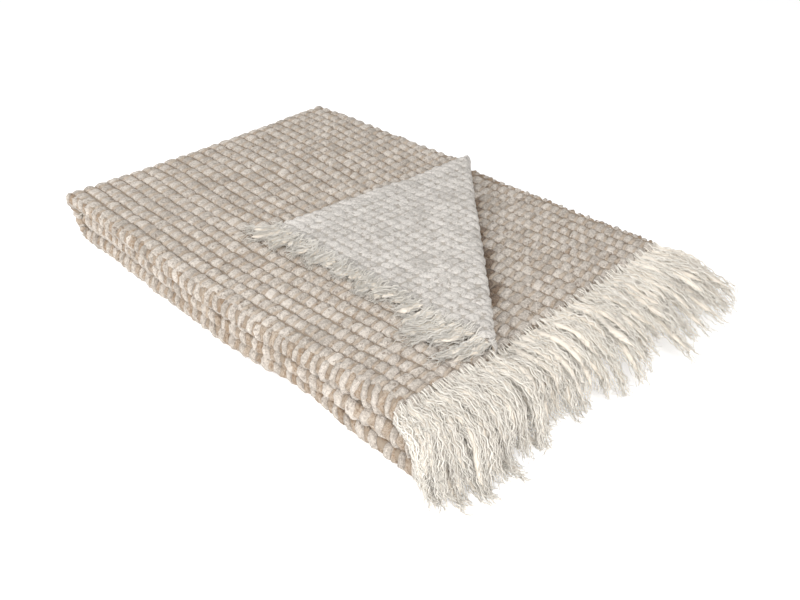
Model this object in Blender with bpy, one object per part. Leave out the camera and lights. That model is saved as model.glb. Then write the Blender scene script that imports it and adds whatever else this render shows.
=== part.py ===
"""A chunky woven throw with fringed ends, folded in thirds both ways, with one corner turned back.

The cloth is scored flat, as a thick sheet, and every point of it is then carried to its folded
place. Flat places are (along, across, rise): metres from the fringed end that shows, metres from
the selvedge that turns back, and height over the sheet's middle, up on the front of the weave.
Folded places are x to the fringed end, y to the far long side and z up from the floor. They are
counted from the middle of the stack, and settle then moves them to the middle of the whole throw.
"""

import math
from collections import namedtuple

import bmesh
import bpy
import numpy as np

# The cloth as it comes off the loom
CLOTH_LENGTH = 1.9115
CLOTH_WIDTH = 1.30
THICKNESS = 0.0066

# The folded stack
STACK_WIDTH = 0.436
BACK_END = -0.300  # x of the rounded end
TOP_END = 0.300  # x where the cloth of the top third ends and its fringe starts
LOW_END = 0.345  # x that the fold under the fringe reaches
AIR = 0.0012  # between two layers
PIECE_GAP = 0.0003  # between the cloth and a fringe's backing
FULLNESS = 0.021  # radius of the top layer where it rounds the back end
SKEW = 0.030  # how much further the top layer reaches on its far side

# The turned corner of the top layer
TURN_START = (0.008, 0.218)  # x and y where its crease leaves the far side
TURN_FINISH = (0.283, -0.091)  # x and y of its crease near the fringed end
TURN_RADIUS = 0.0060
TURN_SETTLES_IN = 0.080  # the flap comes down onto the cloth over this far
TURN_STEPS = 4

# Unevenness of the stack as it lies
CORNER_SINK = 0.10  # how much lower it is at the fringed far corner, where one layer is turned away
BACK_SLANT = 0.010  # how far the rounded end's far and near corners are pushed back and in
BACK_TUCK = 0.006  # how far that near corner is drawn in again at the floor
BACK_PUFF = 0.03  # how much higher the rounded end is
NEAR_TUCK = 0.021  # how far the near side is drawn in at the floor towards the rounded end
TUCK_FROM = 0.10  # x where that begins
TUCK_FULL = -0.30
NEAR_DENT = 0.007  # how far it is pressed in there at DENT_PLACE
DENT_PLACE = 0.165
DENT_REACH = 0.055
FAR_TUCK = 0.005  # how far the fringed far corner is drawn in
MIDDLE = (0.055, 0.0)  # x and y of the whole throw's middle, which becomes the origin

# Heights and places that follow
PITCH = THICKNESS + AIR
STRIP = 2 * PITCH + THICKNESS  # three layers of cloth
STACK_HEIGHT = 3 * STRIP + 2 * AIR
TOP_LAYER_Z = STACK_HEIGHT - THICKNESS / 2
FAR_SIDE = STACK_WIDTH / 2
NEAR_BEND_Y = -FAR_SIDE + THICKNESS / 2 + PITCH
FAR_BEND_Y = FAR_SIDE - THICKNESS / 2 - PITCH / 2
BACK_BEND_X = BACK_END + THICKNESS / 2 + FULLNESS
LOW_RADIUS = (2 * STRIP + AIR - THICKNESS) / 2
LOW_BEND_X = LOW_END - THICKNESS / 2 - LOW_RADIUS
LOW_BEND_Z = THICKNESS / 2 + LOW_RADIUS

Run = namedtuple("Run", "straight radius turn cuts bend_cuts")
ACROSS = (
    Run(FAR_SIDE - NEAR_BEND_Y, PITCH, 180, 6, 5),
    Run(FAR_BEND_Y - NEAR_BEND_Y, PITCH / 2, 180, 6, 4),
    Run(FAR_BEND_Y - NEAR_BEND_Y, 0.0, 0, 6, 0),
)
ALONG = (
    Run(TOP_END - BACK_BEND_X, FULLNESS, 90, 8, 3),
    Run(TOP_LAYER_Z - THICKNESS / 2 - 2 * FULLNESS, FULLNESS, 90, 1, 3),
    Run(LOW_BEND_X - BACK_BEND_X, LOW_RADIUS, 180, 7, 6),
    Run(0.0, 0.0, 0, 6, 0),
)
TOP_RUN = ALONG[0].straight
TOP_WIDTH = ACROSS[0].straight

# The fringe: a backing for each layer's end, and its locks
ROOT_DEPTH = 0.0040
ROOT_HEIGHT = 0.0054
LOCK_HEIGHT = 0.0042
LOCK_WIDTH = 0.72  # of its share of the backing
LOCK_TIP = 0.55  # a tip's size against its root's
SWAY = 0.9  # how far tips lean together, in lock widths
STRAY = 0.20  # how far each tip leans by itself
STEEPEST = 60.0  # degrees that a falling lock hangs at
SLACK_FALL = 0.15  # how much wider the locks round the fold at the far side
SLACK_FROM = -0.09  # y where that begins
SLACK_FULL = 0.14
LAY_RADIUS = 0.020  # how a lock turns out along the floor
FLOOR_CLEAR = 0.0006
FLAP_REST = 0.025  # the flap's locks come down onto the cloth over this far

NEAR_BEND_LENGTH = math.pi * PITCH
FAR_BEND_LENGTH = math.pi * PITCH / 2
LOWER_START = TOP_WIDTH + NEAR_BEND_LENGTH
LOWER_FINISH = LOWER_START + ACROSS[1].straight
UPPER_START = LOWER_FINISH + FAR_BEND_LENGTH
TRIM = 0.002  # a backing stops this short of a bend or selvedge

Fringe = namedtuple("Fringe", "name end start finish locks length spread rings fall")
FRINGES = (
    Fringe("fringe_top", "outer", 0.340, TOP_WIDTH - TRIM, 7, 0.114, 0.07, 8, "floor"),
    Fringe("fringe_upper", "outer", UPPER_START + TRIM, CLOTH_WIDTH - TRIM, 31, 0.083, 0.16, 6, "hang"),
    Fringe("fringe_lower", "outer", LOWER_START + TRIM, LOWER_FINISH - TRIM, 31, 0.106, 0.12, 7, "hang"),
    Fringe("fringe_flap", "outer", TRIM, 0.292, 23, 0.060, 0.22, 4, "lie"),
) + tuple(
    Fringe("inner_fringe_" + name, "inner", start + TRIM, finish - TRIM, 16, 0.0045, 0.06, 1, "level")
    for name, start, finish in (
        ("top", 0.0, TOP_WIDTH),
        ("lower", LOWER_START, LOWER_FINISH),
        ("upper", UPPER_START, CLOTH_WIDTH),
    )
)

# Finishes: base colour, roughness
WEAVE = ((0.56, 0.46, 0.37), 0.92)
IVORY = ((0.80, 0.75, 0.65), 0.90)


def smooth(t):
    """0 below 0, 1 above 1, and an even S between them."""
    t = np.clip(t, 0.0, 1.0)
    return t * t * (3 - 2 * t)


def bends(runs, start, heading, s, out):
    """Points at s along a path of straight runs and arcs, and out beyond its outer side.

    The path starts at start, heads along the angle heading and turns left by each run's turn.
    Before its start and past its end it goes straight on.
    """
    s, out = np.broadcast_arrays(np.asarray(s, float), np.asarray(out, float))
    a = np.zeros(s.shape)
    b = np.zeros(s.shape)
    here = np.array(start, float)
    done = 0.0
    for i, run in enumerate(runs):
        ahead = np.array((math.cos(heading), math.sin(heading)))
        side = np.array((ahead[1], -ahead[0]))
        last = i == len(runs) - 1
        mine = (s >= done) | (i == 0)
        a = np.where(mine, here[0] + ahead[0] * (s - done) + side[0] * out, a)
        b = np.where(mine, here[1] + ahead[1] * (s - done) + side[1] * out, b)
        if last:
            break
        here = here + ahead * run.straight
        done += run.straight
        centre = here - side * run.radius
        turned = heading - math.pi / 2 + np.maximum(s - done, 0) / run.radius
        reach = run.radius + out
        in_arc = s >= done
        a = np.where(in_arc, centre[0] + reach * np.cos(turned), a)
        b = np.where(in_arc, centre[1] + reach * np.sin(turned), b)
        turn = math.radians(run.turn)
        heading += turn
        done += run.radius * turn
        here = centre + run.radius * np.array((math.sin(heading), -math.cos(heading)))
    return a, b


def crease_frame():
    """The crease's start, its direction, and the level direction from it to the corner."""
    start = np.array(TURN_START)
    ahead = np.array(TURN_FINISH) - start
    ahead = ahead / np.hypot(*ahead)
    return start, ahead, np.array((-ahead[1], ahead[0]))


def turn_back(x, y, rise):
    """Where the top layer's points go as its corner is turned back over the crease.

    Past the crease the cloth climbs a half circle of TURN_RADIUS and then runs back flat, and
    comes down onto the cloth below it. Returns x, y and the height over the layer's middle.
    """
    start, ahead, beyond = crease_frame()
    past = (x - start[0]) * beyond[0] + (y - start[1]) * beyond[1]
    angle = np.clip(past / TURN_RADIUS, 0.0, math.pi)
    back = np.maximum(past - math.pi * TURN_RADIUS, 0.0)
    reach = TURN_RADIUS - rise
    moved = np.where(past > 0, reach * np.sin(angle) - back, past)
    sink = (2 * TURN_RADIUS - PITCH) * smooth(back / TURN_SETTLES_IN)
    height = np.where(past > 0, TURN_RADIUS - reach * np.cos(angle) - sink, rise)
    step = moved - past
    return x + step * beyond[0], y + step * beyond[1], height


def settle(x, y, z):
    """The stack's unevenness, which leaves the underside flat.

    Slow waves run through the height and the sides. The fringed far corner lies lower. The
    rounded end runs at a slant and is a little puffier. Near the floor its near corner is drawn
    in, and so is the near side, which is also pressed in at one place.
    """
    to_back = smooth(-x / TOP_END)
    to_front = smooth(x / TOP_END)
    to_far = smooth(y / FAR_SIDE)
    low_near = (1 - y / FAR_SIDE) / 2 * (1 - z / STACK_HEIGHT)
    swell = 0.026 * np.sin(9 * x + 1.1) * np.cos(8 * y - 0.5) + 0.012 * np.sin(15 * x - 9 * y + 0.8)
    swell = swell - 0.05 * x + BACK_PUFF * to_back - CORNER_SINK * to_front * to_far
    tuck = NEAR_TUCK * smooth((TUCK_FROM - x) / (TUCK_FROM - TUCK_FULL))
    dent = NEAR_DENT * np.exp(-(((x - DENT_PLACE) / DENT_REACH) ** 2))
    lean = 0.0035 * np.sin(7 * x + 62 * z + 0.6) + 0.0012 * np.sin(11 * x - 40 * z)
    lean = lean - FAR_TUCK * to_front * to_far + (tuck + dent) * low_near
    drift = 0.0030 * np.sin(7 * y + 20 * z + 0.4) - BACK_SLANT * to_back * y / FAR_SIDE
    drift = drift + BACK_TUCK * to_back * low_near
    return x + drift - MIDDLE[0], y + lean - MIDDLE[1], z * (1 + swell)


def folded(along, across, rise):
    """Folded places of flat ones. The skew makes the top layer's end run at a slant."""
    y, depth = bends(ACROSS, (FAR_SIDE, 0.0), math.pi, across, rise)
    skew = SKEW * np.clip(1 - across / TOP_WIDTH, 0, 1) * np.clip(1 - along / TOP_RUN, 0, 1)
    x, z = bends(ALONG, (TOP_END, TOP_LAYER_Z), math.pi, along - skew, depth)
    on_top = (across < TOP_WIDTH) & (along < TOP_RUN)
    flap_x, flap_y, height = turn_back(x, y, rise)
    x = np.where(on_top, flap_x, x)
    y = np.where(on_top, flap_y, y)
    z = np.where(on_top, TOP_LAYER_Z + height, z)
    return x, y, z


def move(bm, change):
    """Carries every vertex to where change puts it, from its three places as arrays."""
    places = np.array([v.co for v in bm.verts], float)
    for vert, *place in zip(bm.verts, *change(*places.T)):
        vert.co = place


def material(name, finish):
    colour, roughness = finish
    mat = bpy.data.materials.get(name) or bpy.data.materials.new(name)
    mat.use_nodes = True
    shader = mat.node_tree.nodes["Principled BSDF"]
    shader.inputs["Base Color"].default_value = (*colour, 1)
    shader.inputs["Roughness"].default_value = roughness
    shader.inputs["Metallic"].default_value = 0.0
    return mat


def add_object(name, bm, mat, collection):
    bmesh.ops.triangulate(bm, faces=bm.faces[:])
    bmesh.ops.recalc_face_normals(bm, faces=bm.faces[:])
    mesh = bpy.data.meshes.new(name)
    bm.to_mesh(mesh)
    bm.free()
    mesh.materials.append(mat)
    mesh.shade_smooth()
    mesh.set_sharp_from_angle(angle=math.radians(50))
    obj = bpy.data.objects.new(name, mesh)
    collection.objects.link(obj)
    return obj


def box(low, high):
    """A bmesh box from its lowest to its highest corner."""
    bm = bmesh.new()
    bmesh.ops.create_cube(bm, size=1.0)
    low, high = np.array(low), np.array(high)
    for vert in bm.verts:
        vert.co = (low + high) / 2 + np.array(vert.co) * (high - low)
    return bm


def score(bm, point, normal):
    bmesh.ops.bisect_plane(
        bm, geom=bm.verts[:] + bm.edges[:] + bm.faces[:], dist=1e-6, plane_co=point, plane_no=normal
    )


def score_places(runs, total):
    """How far along a path its cloth is scored: each straight run and each bend in equal parts."""
    places = []
    done = 0.0
    for run in runs:
        straight = run.straight or total - done
        places += [done + straight * i / run.cuts for i in range(run.cuts)]
        done += straight
        bend = run.radius * math.radians(run.turn)
        places += [done + bend * i / run.bend_cuts for i in range(run.bend_cuts)]
        done += bend
    return [s for s in places if 1e-4 < s < total - 1e-4]


def score_turn(bm):
    """Scores the flat cloth beside the crease, once for each step of its half circle.

    Each score joins the place on the selvedge and the place on the fringed end that lie the
    same distance past the crease.
    """
    start, _, beyond = crease_frame()
    to_corner = np.array((TOP_END + SKEW, FAR_SIDE)) - start
    for step in range(TURN_STEPS + 1):
        left = to_corner @ beyond - math.pi * TURN_RADIUS * step / TURN_STEPS
        along = left / beyond[0] / (1 + SKEW / TOP_RUN)
        across = left / (beyond[1] + beyond[0] * SKEW / TOP_WIDTH)
        score(bm, (along, 0, 0), (across, along, 0))


def build_cloth(collection):
    """One sheet, scored flat and folded."""
    half = THICKNESS / 2
    bm = box((0, 0, -half), (CLOTH_LENGTH, CLOTH_WIDTH, half))
    for s in score_places(ALONG, CLOTH_LENGTH):
        score(bm, (s, 0, 0), (1, 0, 0))
    for s in score_places(ACROSS, CLOTH_WIDTH):
        score(bm, (0, s, 0), (0, 1, 0))
    score_turn(bm)
    move(bm, folded)
    move(bm, settle)
    add_object("cloth", bm, material("weave", WEAVE), collection)


def stray(lock, which):
    """A steady value from -1 to 1 for one lock, which alone can be its length, lean or lift."""
    value = math.sin(lock * 12.9898 + which * 78.233) * 43758.5453
    return 2 * (value - math.floor(value)) - 1


def fall(fringe, length, root_y, root_z):
    """The (out, up) places of a lock's rings, from its root.

    A level lock runs straight on. A lying one comes down onto the top layer. The others go
    straight to the fold below them, round its centre at their own layer's distance as far as
    STEEPEST, and hang straight from there: a lock that meets the floor turns out along it on an
    arc of LAY_RADIUS, and one that only hangs ends above it.
    """
    rings = range(fringe.rings + 1)
    if fringe.fall == "level":
        return [(length * k / fringe.rings, 0.0) for k in rings]
    if fringe.fall == "lie":
        rest = TOP_LAYER_Z + THICKNESS / 2 + FLOOR_CLEAR + LOCK_HEIGHT / 2 - root_z
        return [(length * k / fringe.rings, rest * smooth(length * k / fringe.rings / FLAP_REST))
                for k in rings]
    lead = LOW_BEND_X - TOP_END - PIECE_GAP - ROOT_DEPTH
    radius = root_z - LOW_BEND_Z + SLACK_FALL * smooth((root_y - SLACK_FROM) / (SLACK_FULL - SLACK_FROM))
    bottom = FLOOR_CLEAR + LOCK_HEIGHT / 2 - root_z
    step = 0.0005
    out, up, walked = 0.0, 0.0, [(0.0, 0.0)]
    while len(walked) * step < length:
        angle = min(max(len(walked) * step - lead, 0.0) / radius, math.radians(STEEPEST))
        if fringe.fall == "floor":
            over = min(max((up - bottom) / LAY_RADIUS, 0.0), 1.0)
            angle = min(angle, math.acos(1 - over))
        elif up - step * math.sin(angle) < bottom:
            break
        out += step * math.cos(angle)
        up -= step * math.sin(angle)
        walked.append((out, up))
    last = len(walked) - 1
    return [walked[round(last * k / fringe.rings)] for k in rings]


def grow_lock(bm, face, fringe, lock, lane, along):
    """Draws one lock out of its root face, ring by ring, leaning and narrowing to its tip."""
    root = np.array(face.calc_center_median())
    ahead = np.array(face.normal)
    ahead[2] = 0.0
    ahead /= np.linalg.norm(ahead)
    side = np.cross((0, 0, 1), ahead)
    offsets = [np.array(v.co) - root for v in face.verts]
    sideways = [offset @ side for offset in offsets]
    upward = [offset[2] for offset in offsets]
    length = fringe.length * (1 + fringe.spread * stray(lock, 1))
    rings = fall(fringe, length, root[1], root[2])
    for k in range(1, fringe.rings + 1):
        part = k / fringe.rings
        before, after = rings[k - 1], rings[min(k + 1, fringe.rings)]
        span = math.hypot(after[0] - before[0], after[1] - before[1])
        out, rise = (after[0] - before[0]) / span, (after[1] - before[1]) / span
        up = np.array((0, 0, out)) - ahead * rise
        lean = lane * (SWAY * part**2 * math.sin(21 * along) + STRAY * part * stray(lock, 2))
        centre = root + ahead * rings[k][0] + np.array((0, 0, rings[k][1])) + side * lean
        size = 1 - (1 - LOCK_TIP) * part**1.4
        face = bmesh.ops.extrude_discrete_faces(bm, faces=[face])["faces"][0]
        for vert, across, over in zip(face.verts, sideways, upward):
            vert.co = centre + size * (side * across + up * over)


def build_fringe(fringe, collection):
    """A backing strip beside a layer's end, with a front face for each lock, and its locks."""
    sign = -1 if fringe.end == "outer" else 1
    near = sign * PIECE_GAP + (0 if fringe.end == "outer" else CLOTH_LENGTH)
    front = near + sign * ROOT_DEPTH
    half = ROOT_HEIGHT / 2
    bm = box((min(near, front), fringe.start, -half), (max(near, front), fringe.finish, half))
    lane = (fringe.finish - fringe.start) / fringe.locks
    for i in range(1, fringe.locks):
        score(bm, (0, fringe.start + lane * i, 0), (0, 1, 0))
    roots = [f for f in bm.faces if all(abs(v.co.x - front) < 1e-6 for v in f.verts)]
    roots.sort(key=lambda f: f.calc_center_median().y)
    bmesh.ops.inset_individual(bm, faces=roots, thickness=(ROOT_HEIGHT - LOCK_HEIGHT) / 2)
    places = [f.calc_center_median().y for f in roots]
    for face, middle in zip(roots, places):
        for vert in face.verts:
            vert.co.y = middle + math.copysign(lane * LOCK_WIDTH / 2, vert.co.y - middle)
    move(bm, folded)
    bm.normal_update()
    for lock, (face, along) in enumerate(zip(roots, places)):
        grow_lock(bm, face, fringe, lock, lane, along)
    move(bm, settle)
    add_object(fringe.name, bm, material("ivory_yarn", IVORY), collection)


def build_throw():
    """Empties the scene and builds the throw in a collection of its own."""
    for obj in list(bpy.data.objects):
        bpy.data.objects.remove(obj, do_unlink=True)
    collection = bpy.data.collections.new("throw")
    bpy.context.scene.collection.children.link(collection)
    build_cloth(collection)
    for fringe in FRINGES:
        build_fringe(fringe, collection)


build_throw()
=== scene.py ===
"""The looks of a chunky woven throw with fringed ends, folded in thirds both ways.

Every piece is worked out flat and then folded with the same sums as the solids. Flat places are
(along, across, rise): metres from the fringed end that shows, metres from the selvedge that turns
back, and height over the sheet's middle, up on the front of the weave.
"""

import math
from collections import namedtuple

import bpy
import numpy as np
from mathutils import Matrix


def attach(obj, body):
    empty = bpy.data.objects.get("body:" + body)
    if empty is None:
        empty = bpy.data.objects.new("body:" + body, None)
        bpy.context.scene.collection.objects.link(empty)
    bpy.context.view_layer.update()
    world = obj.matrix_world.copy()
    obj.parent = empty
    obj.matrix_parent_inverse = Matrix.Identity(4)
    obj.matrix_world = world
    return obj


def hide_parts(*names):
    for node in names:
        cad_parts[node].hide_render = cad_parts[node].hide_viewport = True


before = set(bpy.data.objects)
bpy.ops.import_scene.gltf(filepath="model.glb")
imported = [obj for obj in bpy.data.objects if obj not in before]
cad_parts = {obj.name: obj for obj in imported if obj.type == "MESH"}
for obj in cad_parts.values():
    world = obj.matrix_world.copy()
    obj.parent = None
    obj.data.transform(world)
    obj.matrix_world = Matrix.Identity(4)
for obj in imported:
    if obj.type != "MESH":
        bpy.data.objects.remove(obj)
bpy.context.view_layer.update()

# The cloth and its folds, as the solids have them
CLOTH_LENGTH = 1.9115
CLOTH_WIDTH = 1.30
THICKNESS = 0.0066
STACK_WIDTH = 0.436
BACK_END = -0.300  # x of the rounded end
TOP_END = 0.300  # x where the cloth of the top third ends and its fringe starts
LOW_END = 0.345  # x that the fold under the fringe reaches
AIR = 0.0012  # between two layers
FULLNESS = 0.021  # radius of the top layer where it rounds the back end
SKEW = 0.030  # how much further the top layer reaches on its far side
TURN_START = (0.008, 0.218)  # x and y where the crease of the turned corner leaves the far side
TURN_FINISH = (0.283, -0.091)  # x and y of that crease near the fringed end
TURN_RADIUS = 0.0060
TURN_SETTLES_IN = 0.080  # the turned corner comes down onto the cloth over this far
CORNER_SINK = 0.10  # how much lower the stack is at the fringed far corner
BACK_SLANT = 0.010  # how far the rounded end's far and near corners are pushed back and in
BACK_TUCK = 0.006  # how far that near corner is drawn in again at the floor
BACK_PUFF = 0.03  # how much higher the rounded end is
NEAR_TUCK = 0.021  # how far the near side is drawn in at the floor towards the rounded end
TUCK_FROM = 0.10  # x where that begins
TUCK_FULL = -0.30  # x where it is full
NEAR_DENT = 0.007  # how far it is pressed in there at DENT_PLACE
DENT_PLACE = 0.165
DENT_REACH = 0.055
FAR_TUCK = 0.005  # how far the fringed far corner is drawn in
MIDDLE = (0.055, 0.0)  # x and y of the whole throw's middle, which becomes the origin
LOWEST = 0.0003  # nothing lies nearer to the floor

# Heights and places that follow
PITCH = THICKNESS + AIR
STRIP = 2 * PITCH + THICKNESS  # three layers of cloth
STACK_HEIGHT = 3 * STRIP + 2 * AIR
TOP_LAYER_Z = STACK_HEIGHT - THICKNESS / 2
FAR_SIDE = STACK_WIDTH / 2
NEAR_BEND_Y = -FAR_SIDE + THICKNESS / 2 + PITCH
FAR_BEND_Y = FAR_SIDE - THICKNESS / 2 - PITCH / 2
BACK_BEND_X = BACK_END + THICKNESS / 2 + FULLNESS
LOW_RADIUS = (2 * STRIP + AIR - THICKNESS) / 2
LOW_BEND_X = LOW_END - THICKNESS / 2 - LOW_RADIUS
LOW_BEND_Z = THICKNESS / 2 + LOW_RADIUS

Run = namedtuple("Run", "straight radius turn")
ACROSS = (
    Run(FAR_SIDE - NEAR_BEND_Y, PITCH, 180),
    Run(FAR_BEND_Y - NEAR_BEND_Y, PITCH / 2, 180),
    Run(FAR_BEND_Y - NEAR_BEND_Y, 0.0, 0),
)
ALONG = (
    Run(TOP_END - BACK_BEND_X, FULLNESS, 90),
    Run(TOP_LAYER_Z - THICKNESS / 2 - 2 * FULLNESS, FULLNESS, 90),
    Run(LOW_BEND_X - BACK_BEND_X, LOW_RADIUS, 180),
    Run(0.0, 0.0, 0),
)
TOP_RUN = ALONG[0].straight
TOP_WIDTH = ACROSS[0].straight
LOWER_START = TOP_WIDTH + math.pi * PITCH
LOWER_FINISH = LOWER_START + ACROSS[1].straight
UPPER_START = LOWER_FINISH + math.pi * PITCH / 2
BOTTOM_START = TOP_RUN + math.pi * FULLNESS + ALONG[1].straight
BOTTOM_FINISH = BOTTOM_START + ALONG[2].straight
MIDDLE_START = BOTTOM_FINISH + math.pi * LOW_RADIUS

# The weave: ridges that run along the cloth, each a chain of cream and tan beads
CLOSE_BEAD = 0.0124  # from bead to bead near the fringed end
WIDE_BEAD = 0.0174  # and further in, where the weave is drawn out
WIDENS_FROM = 0.12  # how far along the beads begin to widen
WIDENS_OVER = 0.30
LAST_BEAD = 0.010  # the beads stop this far before the cloth's inner end
NEAR_BEND_MIDDLE = TOP_WIDTH + math.pi * PITCH / 2
FAR_BEND_MIDDLE = LOWER_FINISH + math.pi * PITCH / 4
TOP_RIDGES = 27  # ridges are counted from the near bend's, and the top layer's are below 0
FAR_RIDGE = 24  # the far bend's
ALL_RIDGES = 48
RIDGE = (FAR_BEND_MIDDLE - NEAR_BEND_MIDDLE) / FAR_RIDGE
TOP_RIDGE = 0.0156  # the top layer's ridges lie closer
TOP_RIDGE_GAP = 0.0012  # what is left free between them and the near bend's
BACK_ROW = 0.0143  # from bead to bead across the cloth's back
GROUND = 0.0013  # half the thickness of the ground that the beads stand on
FAN = 0.042  # how far the top layer's ridges spread at most
FAN_FROM = 0.20  # how far along they begin to
FAN_REACH = 0.38  # they spread over this far along
FAN_WIDTH = 0.33  # and over this far across


def smooth(t):
    """0 below 0, 1 above 1, and an even S between them."""
    t = np.clip(t, 0.0, 1.0)
    return t * t * (3 - 2 * t)


def bends(runs, start, heading, s, out):
    """Points at s along a path of straight runs and arcs, and out beyond its outer side."""
    s, out = np.broadcast_arrays(np.asarray(s, float), np.asarray(out, float))
    a = np.zeros(s.shape)
    b = np.zeros(s.shape)
    here = np.array(start, float)
    done = 0.0
    for i, run in enumerate(runs):
        ahead = np.array((math.cos(heading), math.sin(heading)))
        side = np.array((ahead[1], -ahead[0]))
        mine = (s >= done) | (i == 0)
        a = np.where(mine, here[0] + ahead[0] * (s - done) + side[0] * out, a)
        b = np.where(mine, here[1] + ahead[1] * (s - done) + side[1] * out, b)
        if i == len(runs) - 1:
            break
        here = here + ahead * run.straight
        done += run.straight
        centre = here - side * run.radius
        turned = heading - math.pi / 2 + np.maximum(s - done, 0) / run.radius
        reach = run.radius + out
        a = np.where(s >= done, centre[0] + reach * np.cos(turned), a)
        b = np.where(s >= done, centre[1] + reach * np.sin(turned), b)
        turn = math.radians(run.turn)
        heading += turn
        done += run.radius * turn
        here = centre + run.radius * np.array((math.sin(heading), -math.cos(heading)))
    return a, b


def crease_frame():
    """The crease's start, and the level direction from the crease to the corner."""
    start = np.array(TURN_START)
    ahead = np.array(TURN_FINISH) - start
    ahead = ahead / np.hypot(*ahead)
    return start, np.array((-ahead[1], ahead[0]))


def past_crease(x, y):
    """How far a level place is past the crease, on the corner's side of it."""
    start, beyond = crease_frame()
    return (x - start[0]) * beyond[0] + (y - start[1]) * beyond[1]


def turn_back(x, y, rise):
    """Past the crease the cloth climbs a half circle, runs back flat and comes down."""
    _, beyond = crease_frame()
    past = past_crease(x, y)
    angle = np.clip(past / TURN_RADIUS, 0.0, math.pi)
    back = np.maximum(past - math.pi * TURN_RADIUS, 0.0)
    reach = TURN_RADIUS - rise
    moved = np.where(past > 0, reach * np.sin(angle) - back, past)
    sink = (2 * TURN_RADIUS - PITCH) * smooth(back / TURN_SETTLES_IN)
    height = np.where(past > 0, TURN_RADIUS - reach * np.cos(angle) - sink, rise)
    step = moved - past
    return x + step * beyond[0], y + step * beyond[1], height


def settle(x, y, z):
    """The stack's unevenness: slow waves, a sunken corner, a slanting rounded end, a drawn-in side."""
    to_back = smooth(-x / TOP_END)
    to_front = smooth(x / TOP_END)
    to_far = smooth(y / FAR_SIDE)
    low_near = (1 - y / FAR_SIDE) / 2 * (1 - z / STACK_HEIGHT)
    swell = 0.026 * np.sin(9 * x + 1.1) * np.cos(8 * y - 0.5) + 0.012 * np.sin(15 * x - 9 * y + 0.8)
    swell = swell - 0.05 * x + BACK_PUFF * to_back - CORNER_SINK * to_front * to_far
    tuck = NEAR_TUCK * smooth((TUCK_FROM - x) / (TUCK_FROM - TUCK_FULL))
    dent = NEAR_DENT * np.exp(-(((x - DENT_PLACE) / DENT_REACH) ** 2))
    lean = 0.0035 * np.sin(7 * x + 62 * z + 0.6) + 0.0012 * np.sin(11 * x - 40 * z)
    lean = lean - FAR_TUCK * to_front * to_far + (tuck + dent) * low_near
    drift = 0.0030 * np.sin(7 * y + 20 * z + 0.4) - BACK_SLANT * to_back * y / FAR_SIDE
    drift = drift + BACK_TUCK * to_back * low_near
    return x + drift - MIDDLE[0], y + lean - MIDDLE[1], z * (1 + swell)


def skewed(along, across):
    """How much further out the slant of the top layer's end brings a flat place."""
    return SKEW * np.clip(1 - across / TOP_WIDTH, 0, 1) * np.clip(1 - along / TOP_RUN, 0, 1)


def unturned(along, across):
    """Where a flat place of the top layer lies before its corner is turned back."""
    return TOP_END - along + skewed(along, across), FAR_SIDE - across


def folded(along, across, rise):
    """Folded places of flat ones. The skew makes the top layer's end run at a slant."""
    y, depth = bends(ACROSS, (FAR_SIDE, 0.0), math.pi, across, rise)
    x, z = bends(ALONG, (TOP_END, TOP_LAYER_Z), math.pi, along - skewed(along, across), depth)
    on_top = (across < TOP_WIDTH) & (along < TOP_RUN)
    flap_x, flap_y, height = turn_back(x, y, rise)
    return (
        np.where(on_top, flap_x, x),
        np.where(on_top, flap_y, y),
        np.where(on_top, TOP_LAYER_Z + height, z),
    )


def laid(along, across, rise):
    """Final places of flat ones, as an array of points, none below the floor."""
    x, y, z = settle(*folded(along, across, rise))
    return np.stack((x, y, np.maximum(z, LOWEST)), axis=-1)


# Shader maths


class Value:
    """A socket whose sums are written as Python sums and add Math nodes."""

    def __init__(self, tree, socket):
        self.tree = tree
        self.socket = socket

    def joined(self, operation, first, second):
        node = self.tree.nodes.new("ShaderNodeMath")
        node.operation = operation
        for slot, term in zip(node.inputs, (first, second)):
            if isinstance(term, Value):
                self.tree.links.new(term.socket, slot)
            else:
                slot.default_value = term
        return Value(self.tree, node.outputs[0])

    def __add__(self, other):
        return self.joined("ADD", self, other)

    def __sub__(self, other):
        return self.joined("SUBTRACT", self, other)

    def __rsub__(self, other):
        return self.joined("SUBTRACT", other, self)

    def __mul__(self, other):
        return self.joined("MULTIPLY", self, other)

    def clamped(self):
        return self.joined("MINIMUM", self.joined("MAXIMUM", self, 0.0), 1.0)

    __radd__ = __add__
    __rmul__ = __mul__


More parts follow.
